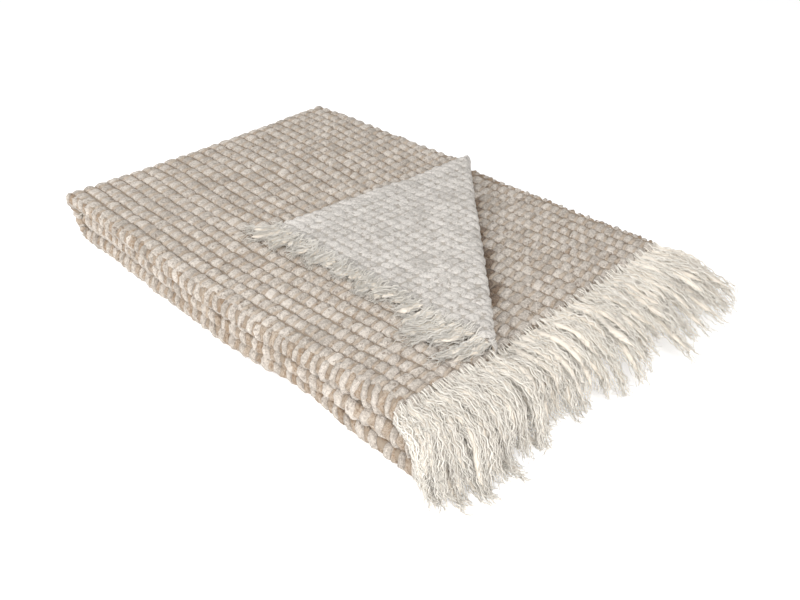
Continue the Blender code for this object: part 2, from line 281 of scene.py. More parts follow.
class Finish:
    """A material whose nodes are added one call at a time."""

    def __init__(self, name, roughness, sheen, tint):
        self.material = bpy.data.materials.new(name)
        self.material.use_nodes = True
        self.tree = self.material.node_tree
        self.shader = self.tree.nodes["Principled BSDF"]
        self.shader.inputs["Roughness"].default_value = roughness
        self.shader.inputs["Sheen Weight"].default_value = sheen
        self.shader.inputs["Sheen Roughness"].default_value = 0.5
        self.shader.inputs["Sheen Tint"].default_value = (*tint, 1)
        self.shader.inputs["Specular IOR Level"].default_value = 0.15

    def node(self, kind, settings=(), values=(), output=0):
        """One node of a kind: its settings first, then its sockets, by name or number."""
        node = self.tree.nodes.new("ShaderNode" + kind)
        for key, value in dict(settings).items():
            setattr(node, key, value)
        for key, value in dict(values).items():
            if isinstance(value, Value):
                self.tree.links.new(value.socket, node.inputs[key])
            else:
                node.inputs[key].default_value = value
        return Value(self.tree, node.outputs[output])

    def blended(self, factor, first, second):
        """The first colour where factor is 0 and the second where it is 1."""
        ends = [c if isinstance(c, Value) else (*c, 1) for c in (first, second)]
        return self.node("Mix", {"data_type": "RGBA"}, {0: factor, 6: ends[0], 7: ends[1]}, 2)

    def noise(self, vector, scale, detail=2.0, rough=0.5):
        return self.node(
            "TexNoise", (), {"Vector": vector, "Scale": scale, "Detail": detail, "Roughness": rough}
        )

    def attribute(self, name):
        return self.node("Attribute", {"attribute_name": name}, (), 2)

    def wear(self, colour, height=None, strength=0.5, distance=0.001):
        """Plugs in the surface's colour, and its height for the bump."""
        self.tree.links.new(colour.socket, self.shader.inputs["Base Color"])
        if height is not None:
            bump = self.node(
                "Bump", (), {"Strength": strength, "Distance": distance, "Height": height}
            )
            self.tree.links.new(bump.socket, self.shader.inputs["Normal"])
        return self.material


def bead_finish(name, dull, bright, speck):
    """Soft spun wool: fibres along each bead, light and dark flecks, and its own tone."""
    finish = Finish(name, 0.95, 0.2, (1.0, 0.97, 0.93))
    place = finish.node("TexCoord", (), (), 3)
    yarn = finish.node("UVMap", {"uv_map": "yarn"})
    stretched = finish.node("Mapping", (), {"Vector": yarn, "Scale": (8.0, 1.8, 1.0)})
    fibres = finish.noise(stretched, 1.0, 3.0, 0.65)
    patches = finish.noise(place, 38.0, 2.0)
    flecks = finish.noise(place, 330.0, 3.0, 0.75)
    specks = finish.noise(place, 210.0, 2.0, 0.6)
    grain = finish.noise(place, 800.0, 2.0, 0.8)
    tone = finish.attribute("tint") + (patches - 0.5) * 0.9 + (fibres - 0.5) * 0.9
    tone = tone + (flecks - 0.5) * 3.0 + (grain - 0.5) * 1.6
    colour = finish.blended(tone.clamped(), dull, bright)
    dark = ((specks - 0.61) * 14.0).clamped() * 0.75
    colour = finish.blended(dark, colour, speck)
    return finish.wear(colour, fibres + flecks * 1.6 + grain * 0.7, 0.9, 0.0019)


def ground_finish():
    """The tan ground between the beads, whiter on the cloth's back."""
    finish = Finish("ground_weave", 0.95, 0.1, (1.0, 0.95, 0.88))
    place = finish.node("TexCoord", (), (), 3)
    flecks = finish.noise(place, 400.0, 2.0, 0.7)
    patches = finish.noise(place, 60.0, 2.0)
    front = finish.blended(patches, (0.24, 0.19, 0.145), (0.36, 0.295, 0.23))
    back = finish.blended(patches, (0.34, 0.305, 0.265), (0.50, 0.465, 0.42))
    colour = finish.blended(finish.attribute("front"), back, front)
    return finish.wear(colour, flecks + patches, 0.7, 0.0015)


def fringe_finish(name, dull, bright, painted_glow):
    """Ivory yarn, each strand with its own tone, with brown flecks of painted warm shade in places.

    The glow is painted light: a faint emission that stands in for the light that scatters on between the
    fibres.
    """
    finish = Finish(name, 0.92, 0.35, (1.0, 0.98, 0.95))
    # Painted light: the strands glow faintly, though no lamp is in them.
    finish.shader.inputs["Emission Color"].default_value = (1.0, 0.94, 0.85, 1)
    finish.shader.inputs["Emission Strength"].default_value = painted_glow
    place = finish.node("TexCoord", (), (), 3)
    yarn = finish.node("UVMap", {"uv_map": "yarn"})
    hairs = finish.noise(
        finish.node("Mapping", (), {"Vector": yarn, "Scale": (16.0, 1.1, 1.0)}), 1.0, 3.0, 0.6
    )
    patches = finish.noise(place, 45.0, 2.0)
    tone = finish.attribute("tint") + (patches - 0.5) * 0.7 + (hairs - 0.5) * 0.6
    colour = finish.blended(tone.clamped(), dull, bright)
    # Brown flecks: painted warm shade among the strands.
    shade_flecks = ((finish.noise(place, 90.0, 3.0, 0.7) - 0.58) * 7.0).clamped() * 0.25
    colour = finish.blended(shade_flecks, colour, (0.46, 0.37, 0.28))
    return finish.wear(colour, hairs + finish.noise(place, 500.0, 2.0, 0.7), 0.8, 0.0012)


CREAM = bead_finish("cream_beads", (0.40, 0.35, 0.30), (0.765, 0.695, 0.62), (0.26, 0.20, 0.155))
TAN = bead_finish("tan_beads", (0.31, 0.215, 0.14), (0.575, 0.485, 0.395), (0.20, 0.145, 0.10))
# Dark brown beads beside the turned corner's crease: painted shade, the shadow under the roll of the
# fold
PAINTED_SHADE_BEADS = bead_finish("painted_shade_beads", (0.10, 0.065, 0.04), (0.30, 0.215, 0.15), (0.05, 0.03, 0.02))
WHITE = bead_finish("back_beads", (0.47, 0.44, 0.405), (0.76, 0.72, 0.675), (0.30, 0.26, 0.22))
GROUND_FINISH = ground_finish()
STRAND_FINISH = fringe_finish("ivory_strands", (0.88, 0.82, 0.73), (0.93, 0.89, 0.815), 0.035)
FLAP_FINISH = fringe_finish("flap_strands", (0.74, 0.695, 0.62), (0.88, 0.845, 0.785), 0.03)
# The cores are darker and browner than the strands: painted shade in the gaps between the strands, where
# the cores show.
CORE_SHADE_FINISH = fringe_finish("core_painted_shade", (0.74, 0.66, 0.555), (0.865, 0.80, 0.705), 0.025)


# Meshes


def make_piece(name, points, faces, material, uv=None, values=()):
    """A smooth mesh of points and of arrays of faces, each array of one number of corners.

    uv gives every point its place on the yarn, and values its named numbers.
    """
    points = np.asarray(points, float).reshape(-1, 3)
    corners = np.concatenate([f.ravel() for f in faces]).astype(np.int32)
    sizes = np.concatenate([np.full(len(f), f.shape[1]) for f in faces])
    starts = np.concatenate(((0,), np.cumsum(sizes)[:-1])).astype(np.int32)
    mesh = bpy.data.meshes.new(name)
    mesh.vertices.add(len(points))
    mesh.vertices.foreach_set("co", points.ravel())
    mesh.loops.add(len(corners))
    mesh.loops.foreach_set("vertex_index", corners)
    mesh.polygons.add(len(sizes))
    mesh.polygons.foreach_set("loop_start", starts)
    if uv is not None:
        layer = mesh.uv_layers.new(name="yarn")
        layer.data.foreach_set("uv", np.asarray(uv, float).reshape(-1, 2)[corners].ravel())
    mesh.update(calc_edges=True)
    for key, value in dict(values).items():
        mesh.attributes.new(key, "FLOAT", "POINT").data.foreach_set("value", np.ravel(value))
    mesh.materials.append(material)
    mesh.shade_smooth()
    obj = bpy.data.objects.new(name, mesh)
    bpy.context.scene.collection.objects.link(obj)
    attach(obj, "root")
    return obj


def grid_faces(rows, columns):
    """Quads between neighbours on a grid of rows by columns of points."""
    index = np.arange(rows * columns).reshape(rows, columns)
    return np.stack(
        (index[:-1, :-1], index[1:, :-1], index[1:, 1:], index[:-1, 1:]), axis=-1
    ).reshape(-1, 4)


def rim_of(rows, columns):
    """The points round a grid's border, in order."""
    index = np.arange(rows * columns).reshape(rows, columns)
    return np.concatenate((index[:-1, 0], index[-1, :-1], index[:0:-1, -1], index[0, :0:-1]))


Form = namedtuple("Form", "along across height faces")


def bead_grid(cells):
    """Places on a square from -1 to 1 each way, closer together towards its sides."""
    t = np.sin(np.linspace(-1, 1, cells + 1) * math.pi / 2)
    return [grid.ravel() for grid in np.meshgrid(t, t, indexing="ij")]


def bead_form(cells):
    """A closed bead on a square grid.

    Its height is the root of 1 - along^2 times the root of 1 - across^4, its ends are drawn in
    by a sixth, and one flat face closes it below.
    """
    along, across = bead_grid(cells)
    height = np.sqrt(np.clip(1 - along**2, 0, 1)) * np.sqrt(np.clip(1 - across**4, 0, 1))
    return Form(
        along * (1 - across**4 / 6),
        across,
        height,
        (grid_faces(cells + 1, cells + 1), rim_of(cells + 1, cells + 1)[None, ::-1]),
    )


def pebble_form(cells):
    """A bead that swells as much below as above, so that it wraps an edge of the cloth."""
    bead = bead_form(cells)
    rim = rim_of(cells + 1, cells + 1)
    many = (cells + 1) ** 2
    twin = np.arange(many) + many
    twin[rim] = rim
    quads = bead.faces[0]
    used, index = np.unique(np.concatenate((np.arange(many), twin)), return_index=True)
    order = np.full(2 * many, -1)
    order[used] = np.arange(len(used))
    return Form(
        np.tile(bead.along, 2)[used],
        np.tile(bead.across, 2)[used],
        np.concatenate((bead.height, -bead.height))[used],
        (quads, order[twin[quads[:, ::-1]]]),
    )


def round_form(cells):
    """A bead_form's square drawn in to a disc and raised as half a ball, a little wider."""
    bead = bead_form(cells)
    along, across = bead_grid(cells)
    round_along = along * np.sqrt(1 - across**2 / 2)
    round_across = across * np.sqrt(1 - along**2 / 2)
    height = np.sqrt(np.clip(1 - round_along**2 - round_across**2, 0, 1))
    return Form(round_along * 1.12, round_across * 1.12, height, bead.faces)


FINE = bead_form(6)
LONG = bead_form(8)
COARSE = bead_form(4)
ROUND = round_form(6)
PEBBLE = pebble_form(5)


def fanned(along, across):
    """How far ridges lie nearer to the selvedge, as they spread out towards the rounded end."""
    return FAN * smooth((along - FAN_FROM) / FAN_REACH) * smooth((TOP_WIDTH - across) / FAN_WIDTH)


def wavy(along, across):
    """How far the weave wanders from its straight lines, along and across."""
    off_along = 0.0016 * np.sin(12 * across + 7 * along) + 0.0009 * np.sin(41 * across - 17 * along)
    off_across = 0.0016 * np.sin(9.5 * along + 13 * across) + 0.0008 * np.sin(33 * along - 21 * across)
    return off_along, off_across


# How much the beads differ from one pattern
SIZE_STRAY = 0.07
HEIGHT_STRAY = 0.15
SLANT_STRAY = 0.09
PLACE_STRAY = 0.0006
TONE_STRAY = 0.13
LUMP = 0.00035  # how far a bead's own points stray


def lay_beads(
    name, places, form, material, size, seed, side=1, tone=0.5, drop=0.0006, slant=-0.22,
    spread=True, loose=1.0,
):
    """Many beads at flat places, each with its own size, slant, height, tone and lumps.

    size is a bead's width along, its length across and its height; side is 1 on the cloth's
    front and -1 on its back. drop is how far a bead's foot is from the sheet's middle, and
    spread says whether it follows the fan. loose is how far they stray from one pattern.
    """
    rng = np.random.default_rng(seed)
    along, across = places
    many = len(along)
    wander = wavy(along, across)
    vary = 1 + SIZE_STRAY * loose * rng.standard_normal((3, many)).clip(-2, 2)
    width, length, high = ((s * v)[:, None] for s, v in zip(size, vary))
    shear = (slant + SLANT_STRAY * loose * rng.standard_normal(many))[:, None]
    nudge = PLACE_STRAY * loose * rng.uniform(-1, 1, (2, many))
    lumps = rng.uniform(-1, 1, (3, many, len(form.along)))
    a = form.along * width / 2 + LUMP * lumps[0]
    c = form.across * length / 2 + LUMP * lumps[1]
    flat_a = (along + wander[0] + nudge[0])[:, None] + a + shear * c
    flat_c = (across + wander[1] + nudge[1])[:, None] + c
    if spread:
        flat_c = flat_c - fanned(flat_a, flat_c)
    rise = side * (drop + form.height * high * (1 + HEIGHT_STRAY * lumps[2]))
    points = laid(flat_a, flat_c, rise)
    start = np.arange(many)[:, None, None] * len(form.along)
    faces = [(f if side > 0 else f[:, ::-1])[None] + start for f in form.faces]
    faces = [f.reshape(-1, f.shape[-1]) for f in faces]
    shift = rng.uniform(0, 60, (2, many, 1))
    uv = np.stack((form.along / 2 + shift[0], form.across / 2 + shift[1]), axis=-1)
    tint = np.repeat(tone + TONE_STRAY * rng.standard_normal(many), len(form.along))
    return make_piece(name, points, faces, material, uv, {"tint": tint})


# The ground: one thin sheet with the whole of the folds


def places_along(marks):
    """Places from mark to mark, each stretch in even steps of at most its own size."""
    found = []
    for (start, step), (finish, _) in zip(marks, marks[1:]):
        count = max(1, math.ceil((finish - start) / step))
        found.append(start + (finish - start) * np.arange(count) / count)
    return np.append(np.concatenate(found), marks[-1][0])


def lay_ground():
    """The sheet's front and back with a wall round them, in smaller steps where it bends."""
    along = places_along((
        (0.0, 0.0045), (0.36, 0.012), (TOP_RUN, 0.0045), (BOTTOM_START, 0.014),
        (BOTTOM_FINISH, 0.0055), (MIDDLE_START, 0.014), (CLOTH_LENGTH, 0),
    ))
    across = places_along((
        (0.0, 0.0045), (0.34, 0.009), (TOP_WIDTH, 0.0031), (LOWER_START, 0.014),
        (LOWER_FINISH, 0.0020), (UPPER_START, 0.014), (CLOTH_WIDTH, 0),
    ))
    a, c = np.meshgrid(along, across, indexing="ij")
    rows, columns = a.shape
    sides = [laid(a, c, np.full(a.shape, rise)).reshape(-1, 3) for rise in (GROUND, -GROUND)]
    top = grid_faces(rows, columns)
    rim = rim_of(rows, columns)
    after = np.roll(rim, -1)
    wall = np.stack((rim, rim + a.size, after + a.size, after), axis=-1)
    faces = [top, top[:, ::-1] + a.size, wall[:, ::-1]]
    return make_piece(
        "ground", np.concatenate(sides), faces, GROUND_FINISH,
        values={"front": np.repeat((1.0, 0.0), a.size)},
    )


ground = lay_ground()
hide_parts("cloth")


# The beads on the faces that show


def bead_rows(finish):
    """Middles and spans of the rows of beads, which widen away from the fringed end."""
    middles, spans, place = [], [], 0.0
    while place < finish:
        span = CLOSE_BEAD + (WIDE_BEAD - CLOSE_BEAD) * float(smooth((place - WIDENS_FROM) / WIDENS_OVER))
        middles.append(place + span / 2)
        spans.append(span)
        place += span
    return np.array(middles), np.array(spans)


UNDERSIDE_START = BOTTOM_START + 0.02
UNDERSIDE_FINISH = BOTTOM_FINISH - 0.03
LOW_FOLD_FINISH = MIDDLE_START + 0.035
HEM = 0.006  # the top layer's beads keep this far from the selvedge
END_ROWS = 0.045  # the rows at the fringe that are beaded right across
UNDER_REACH = 0.45  # how far along the layer under the turned corner is beaded
UNDER_CREASE = -0.012  # how far under the crease its beads of painted shade start
SHADE = 0.0230  # how far from the crease that painted shade reaches at its near end
SHADE_LESS = 0.007  # and how much less at its far end
SHADE_OVER = 0.20

middles, spans = bead_rows(CLOTH_LENGTH - LAST_BEAD)
numbers = np.arange(-TOP_RIDGES, ALL_RIDGES)
ridge_places = NEAR_BEND_MIDDLE + np.where(
    numbers < 0, numbers * TOP_RIDGE - TOP_RIDGE_GAP, numbers * RIDGE
)
row, column = np.indices((len(middles), len(numbers))).reshape(2, -1)
at_along, span = middles[row], spans[row]
at_across, ridge = ridge_places[column], numbers[column]
fan_across = at_across - fanned(at_along, at_across)
past = past_crease(*unturned(at_along, fan_across))
top_layer = (ridge < 0) & (fan_across > HEM)
turned = top_layer & (at_along < TOP_RUN) & (past > TURN_RADIUS * 1.2)
lower_x, lower_y, _ = folded(at_along, at_across, 0.0)
lower_past = past_crease(lower_x, lower_y)
shade = SHADE - SHADE_LESS * smooth(lower_y / SHADE_OVER)
lower_layer = ridge > FAR_RIDGE
at_end, in_reach = at_along < END_ROWS, at_along < UNDER_REACH
ZONES = {  # each with its places, its beads' form and its seed
    "top": (top_layer & ~turned & (at_along < TOP_RUN), FINE, 11),
    "rounded_end": (top_layer & (at_along >= TOP_RUN) & (at_along < UNDERSIDE_START), FINE, 12),
    "low_fold": (top_layer & (at_along > UNDERSIDE_FINISH) & (at_along < LOW_FOLD_FINISH), FINE, 13),
    "underside": (
        top_layer & (at_along >= UNDERSIDE_START) & (at_along <= UNDERSIDE_FINISH), COARSE, 14,
    ),
    "near_bend": (ridge == 0, LONG, 15),
    "far_bend": (ridge == FAR_RIDGE, FINE, 16),
    "under_flap": (lower_layer & ((in_reach & (lower_past > shade)) | at_end), FINE, 17),
    # painted shade: beads darkened as the crease's shadow
    "crease_painted_shade": (
        lower_layer & ~at_end & in_reach & (lower_past > UNDER_CREASE) & (lower_past <= shade), FINE, 18,
    ),
}
REACHES = {"near_bend": math.pi * PITCH + 0.0035, "far_bend": math.pi * PITCH / 2 + 0.0030}
LOWER = ("under_flap", "crease_painted_shade")  # on the layer below the turned corner
ONE_TONE = ("underside", "crease_painted_shade")  # no tan beads between the others
RIDGE_FILL = 0.94  # how much of its ridge's width a cream bead fills
TAN_FILL = 0.96  # how much of that a tan one fills
CREAM_HEIGHT = 0.0042
END_HEIGHT = 0.78  # the beads on the rounded end are this much lower

# Widths of the cream and tan beads against their pitch, the tan ones' height and tone, and how
# far all of them stray
Row = namedtuple("Row", "cream tan tan_height tan_tone loose")
FLAT_ROW = Row(0.90, 0.50, 0.0036, 0.95, 1.2)
BENT_ROW = Row(0.56, 0.66, 0.0042, 0.45, 2.0)

for zone, (mask, form, seed) in ZONES.items():
    a, c, pitch = at_along[mask], at_across[mask], span[mask]
    reach = REACHES.get(zone, RIDGE_FILL * (RIDGE if zone in LOWER else TOP_RIDGE))
    kind = BENT_ROW if zone in REACHES else FLAT_ROW
    low = END_HEIGHT if zone == "rounded_end" else 1.0
    lay_beads(
        "cream_" + zone, (a, c), form, PAINTED_SHADE_BEADS if zone == "crease_painted_shade" else CREAM,
        (kind.cream * pitch, reach, CREAM_HEIGHT * low), seed, loose=kind.loose,
    )
    if zone not in ONE_TONE:
        lay_beads(
            "tan_" + zone, (a + pitch / 2, c), COARSE, TAN,
            (kind.tan * pitch, reach * TAN_FILL, kind.tan_height * low), seed + 20,
            tone=kind.tan_tone, loose=kind.loose,
        )

# The white back of the turned corner, in rows of small beads
BACK_BEAD = (0.0128, 0.0146, 0.0032)
BACK_ROWS, BACK_COLUMNS = 28, 27
BACK_FROM = -0.010  # how far before the crease they start
rows, columns = np.meshgrid(np.arange(BACK_ROWS), np.arange(1, BACK_COLUMNS), indexing="ij")
back_along, back_across = middles[rows.ravel()], (columns.ravel() + 0.25) * BACK_ROW
mask = (past_crease(*unturned(back_along, back_across)) > BACK_FROM) & (back_across < TOP_WIDTH)
lay_beads(
    "back_beads", (back_along[mask], back_across[mask]), ROUND, WHITE, BACK_BEAD, 31,
    side=-1, drop=0.0004, slant=0.20, spread=False,
)

# The selvedges: a bead round the edge at every row, larger and whiter on the turned corner
ON_EDGE = 0.36  # its middle lies this share of its length in from the edge
folded_back = past_crease(*unturned(middles, 0.0)) > 0
for name, mask, material, (width, length, height), slant, seed in (
    ("selvedge", ~folded_back, CREAM, (0.66, 0.0125, 0.0036), -0.2, 41),
    ("selvedge_turned", folded_back, WHITE, (0.92, 0.0235, 0.0044), 0.45, 42),
):
    a, pitch = middles[mask], spans[mask]
    lay_beads(
        name, (a, np.full(len(a), length * ON_EDGE)), PEBBLE, material,
        (width * pitch, np.full(len(a), length), height), seed,
        tone=0.6, drop=0.0, slant=slant, spread=False,
    )


# The fringe


def tubes(name, lines, radii, sides, lengths, tint, side_way, material):
    """Closed strands: rings of a few points round each centre line.

    lines is strands by rings by 3. A ring's plane is square to the line. Its points lie at the
    first radius along the cross product of the line's direction and side_way, and at the second
    along side_way. A flat face closes each end. Its place on the yarn runs once round and
    counts centimetres along, shifted for each strand.
    """
    strands, rings = lines.shape[:2]
    ahead = np.gradient(lines, axis=1)
    ahead /= np.linalg.norm(ahead, axis=-1, keepdims=True)
    first = np.cross(ahead, side_way)
    first /= np.linalg.norm(first, axis=-1, keepdims=True)
    second = np.cross(ahead, first)
    turn = 2 * math.pi * np.arange(sides)[:, None] / sides
    first = first[:, :, None] * radii[..., :1, None]
    second = second[:, :, None] * radii[..., 1:, None]
    points = lines[:, :, None] + first * np.cos(turn) + second * np.sin(turn)
    points[..., 2] = np.maximum(points[..., 2], LOWEST)
    index = np.arange(rings * sides).reshape(rings, sides)
    after = np.roll(index, -1, axis=1)
    walls = np.stack((index[:-1], after[:-1], after[1:], index[1:]), axis=-1).reshape(-1, 4)
    ends = np.stack((index[0, ::-1], index[-1]))
    start = np.arange(strands)[:, None, None] * rings * sides
    faces = [(f[None] + start).reshape(-1, f.shape[-1]) for f in (walls, ends)]
    around = np.broadcast_to(np.arange(sides) / sides, (strands, rings, sides))
    shift = np.arange(strands)[:, None, None] * 0.37
    length = np.linspace(0, 1, rings)[None, :, None] * lengths[:, None, None] + 0 * around
    uv = np.stack((around + shift, length * 100 + shift), axis=-1)
    tints = np.repeat(tint, rings * sides)
    return make_piece(name, points, faces, material, uv, {"tint": tints})


# A stretch of fringe: from where to where across the cloth, its clumps and the strands in each, its
# length and how much that varies, how it falls, the rings of a strand and the bits of fuzz a clump
Tier = namedtuple("Tier", "node start finish clumps strands length spread fall rings fuzz")
TIERS = (
    Tier("fringe_top", 0.323, LOWER_START - 0.003, 20, 20, 0.112, 0.08, "outer", 40, 80),
    Tier("fringe_upper", UPPER_START, CLOTH_WIDTH, 42, 10, 0.080, 0.16, "outer", 30, 44),
    Tier("fringe_lower", LOWER_START, LOWER_FINISH, 42, 14, 0.106, 0.12, "outer", 40, 54),
    Tier("fringe_flap", 0.002, 0.314, 33, 12, 0.042, 0.30, "lie", 18, 44),
    Tier("inner_fringe_top", 0.0, TOP_WIDTH, 24, 6, 0.0045, 0.06, "level", 4, 0),
    Tier("inner_fringe_lower", LOWER_START, LOWER_FINISH, 24, 6, 0.0045, 0.06, "level", 4, 0),
    Tier("inner_fringe_upper", UPPER_START, CLOTH_WIDTH, 24, 6, 0.0045, 0.06, "level", 4, 0),
)
STEPS = 60  # in a clump's centre line
CORE_RINGS = 16
CORE_SIDES = 10
STRAND_RADIUS = 0.00072
FUZZ_RADIUS = 0.00036
STRAND_LOWEST = 0.0009  # no strand's middle lies nearer to the floor
ROOT_INSIDE = {"outer": 0.0055, "lie": 0.0070, "level": 0.0035}  # how far in the cloth it starts
SWAY = {"outer": 0.0030, "lie": 0.0012, "level": 0.0}  # how far a clump wanders at most
ROOT_LIFT = 0.0052  # how high the strands that cross over the cloth's last beads lie
LIFTED_SHARE = 0.4  # of the strands
LIFTED_OVER = 0.014  # how far they take to come down
LAY_RADIUS = 0.018  # on which a clump turns out along the floor
FLOOR_LINE = 0.0028  # height of its line there
STEEPEST = 62  # degrees
SLUMP_STEEPER = 26
SLUMP_RADIUS = 0.010
SLUMP_SOONER = 0.9
SLACK_FALL = 0.15  # added to the bend's radius on the far side
FLAP_REST = 0.0050  # height of the turned corner's fringe over the top layer's middle
FLAP_DROP = 0.022  # it comes down to that over this far
TOP_CROWDING = 1.45  # how much closer the top layer's clumps lie at the near corner
TOP_LANE = 1.25  # how much wider they are
SHORT_SHARE, SHORT = 0.35, 0.80  # how many clumps are short, and how long those are
CORNER_TURN = math.radians(16)  # how far round the near corner its last clumps are turned
CORNER_SLUMP = 0.3  # how much those slump
CORNER_FROM = TOP_WIDTH - 0.034
CORNER_REACH = 0.046
SECOND_TURN = math.radians(6)  # how far the first clumps of the lowest layer are turned there
SECOND_REACH = 0.034
UNEVEN = (  # y, and how long the fringe is there
    (-0.215, 0.70), (-0.200, 0.97), (-0.160, 0.97), (-0.115, 0.87), (-0.080, 0.94),
    (-0.040, 0.96), (0.0, 0.95), (0.060, 0.98), (0.120, 1.09), (0.200, 1.14),
)
UP = np.array((0.0, 0.0, 1.0))

Bundle = namedtuple("Bundle", "root ahead side out up length lean sway")


def drop_line(tier, length, root_y, root_z, slump, lift):
    """(out, up) steps of each clump's centre line, clumps by STEPS + 1, from its root.

    It runs straight to the fold below it, bends down on its own radius to its steepest, and
    turns out along the floor where it meets it. A lying one comes down onto the layer below.
    slump, from 0 to 1, makes a clump drop sooner and hang more upright at the near corner.
    """
    ds = length / STEPS
    out = np.zeros((len(length), STEPS + 1))
    up = np.zeros((len(length), STEPS + 1))
    if tier.fall != "outer":
        out[:] = ds[:, None] * np.arange(STEPS + 1)
        if tier.fall == "lie":
            rest = TOP_LAYER_Z + FLAP_REST + lift - root_z
            up[:] = rest[:, None] * smooth(out / FLAP_DROP)
        return out, up
    lead = (LOW_BEND_X - TOP_END) * (1 - SLUMP_SOONER * slump)
    slack = SLACK_FALL * smooth((root_y + 0.09) / 0.23)
    radius = (root_z - LOW_BEND_Z + slack + lift) * (1 - slump) + SLUMP_RADIUS * slump
    steepest = np.radians(STEEPEST + SLUMP_STEEPER * slump)
    bottom = FLOOR_LINE - root_z
    for k in range(STEPS):
        angle = np.minimum(np.maximum(ds * (k + 1) - lead, 0.0) / radius, steepest)
        over = np.clip((up[:, k] - bottom) / LAY_RADIUS, 0.0, 1.0)
        angle = np.minimum(angle, np.arccos(1 - over))
        out[:, k + 1] = out[:, k] + ds * np.cos(angle)
        up[:, k + 1] = up[:, k] - ds * np.sin(angle)
    return out, up


def uneven(y):
    """The fringe's length at y against its usual one."""
    return np.interp(y, *zip(*UNEVEN))


def hang_clumps(tier, rng):
    """The bundle of a tier's clumps, and how wide a lane each has.

    The clumps at the near corner are turned a little round it.
    """
    clumps = tier.clumps
    lane = (tier.finish - tier.start) / clumps
    sign = 1 if tier.fall == "level" else -1
    end = CLOTH_LENGTH if sign > 0 else 0.0
    part = (np.arange(clumps) + 0.5) / clumps
    at_corner = np.zeros(clumps)
    turn = np.zeros(clumps)
    if tier.node == "fringe_top":
        part = 1 - (1 - part) ** TOP_CROWDING
        lane = TOP_LANE * lane
    across = tier.start + (tier.finish - tier.start) * part
    if tier.node == "fringe_top":
        at_corner = smooth((across - CORNER_FROM) / CORNER_REACH)
        turn = CORNER_TURN * at_corner
    if tier.node == "fringe_lower":
        turn = SECOND_TURN * smooth(1 - (across - LOWER_START) / SECOND_REACH)
    inside = np.full(clumps, end - sign * ROOT_INSIDE[tier.fall])
    root = np.stack(folded(inside, across, np.zeros(clumps)), axis=-1)
    front = np.stack(folded(inside + sign * 0.003, across, np.zeros(clumps)), axis=-1)
    ahead = (front - root) * (1, 1, 0)
    ahead /= np.linalg.norm(ahead, axis=1, keepdims=True)
    side = np.cross(UP, ahead)
    cosine, sine = np.cos(turn)[:, None], np.sin(turn)[:, None]
    ahead, side = ahead * cosine - side * sine, side * cosine + ahead * sine
    length = tier.length * (1 + tier.spread * rng.uniform(-1, 1, clumps)) + ROOT_INSIDE[tier.fall]
    if tier.fall == "outer":
        length = length * uneven(root[:, 1]) * np.where(rng.random(clumps) < SHORT_SHARE, SHORT, 1.0)
    if tier.fall == "lie":  # short along the hem, longer at the corner and at the crease
        length = length * (0.50 + 0.6 * np.exp(-across / 0.03) + 0.50 * smooth((across - 0.20) / 0.09))
    lift = rng.uniform(0.0, 0.004, clumps)
    out, up = drop_line(tier, length, root[:, 1], root[:, 2], CORNER_SLUMP * at_corner, lift)
    lean = lane * (rng.uniform(-0.8, 0.8, clumps) + 0.7 * np.sin(17 * across)) * (1 - 0.7 * at_corner)
    if tier.fall == "lie":  # the corner's own tuft fans out past the selvedge
        lean = lean - 0.034 * np.exp(-across / 0.016)
    size = SWAY[tier.fall] * rng.uniform(0.3, 1.0, clumps)
    sway = np.stack((size, rng.uniform(4.0, 10.0, clumps), rng.uniform(0, 6.3, clumps)))
    return Bundle(root, ahead, side, out, up, length, lean, sway), lane


def at_clump(bundle, clump, s, sideways, upwards):
    """Final places at shares s of each strand's clump, off its line by sideways and upwards.

    The clump's own lean grows with s to the power 1.4, and its sway is a wave along it.
    """
    walk = s * STEPS
    low = np.minimum(walk.astype(int), STEPS - 1)
    part = walk - low
    pick = clump[:, None], low
    after = clump[:, None], low + 1
    step_out = bundle.out[after] - bundle.out[pick]
    step_up = bundle.up[after] - bundle.up[pick]
    size = np.hypot(step_out, step_up)
    ahead, side = bundle.ahead[clump][:, None], bundle.side[clump][:, None]
    normal = UP * (step_out / size)[..., None] - ahead * (step_up / size)[..., None]
    size, turns, phase = bundle.sway[:, clump, None]
    swing = turns * s + phase
    sideways = sideways + bundle.lean[clump][:, None] * s**1.4 + size * np.sin(swing) * smooth(3 * s)
    upwards = upwards + 0.4 * size * (1 + np.cos(swing)) * smooth(3 * s)
    lines = bundle.root[clump][:, None] + ahead * (bundle.out[pick] + part * step_out)[..., None]
    lines = lines + UP * (bundle.up[pick] + part * step_up)[..., None]
    lines = lines + side * sideways[..., None] + normal * upwards[..., None]
    lines = np.stack(settle(lines[..., 0], lines[..., 1], lines[..., 2]), axis=-1)
    lines[..., 2] = np.maximum(lines[..., 2], STRAND_LOWEST)
    return lines, np.broadcast_to(side, lines.shape)


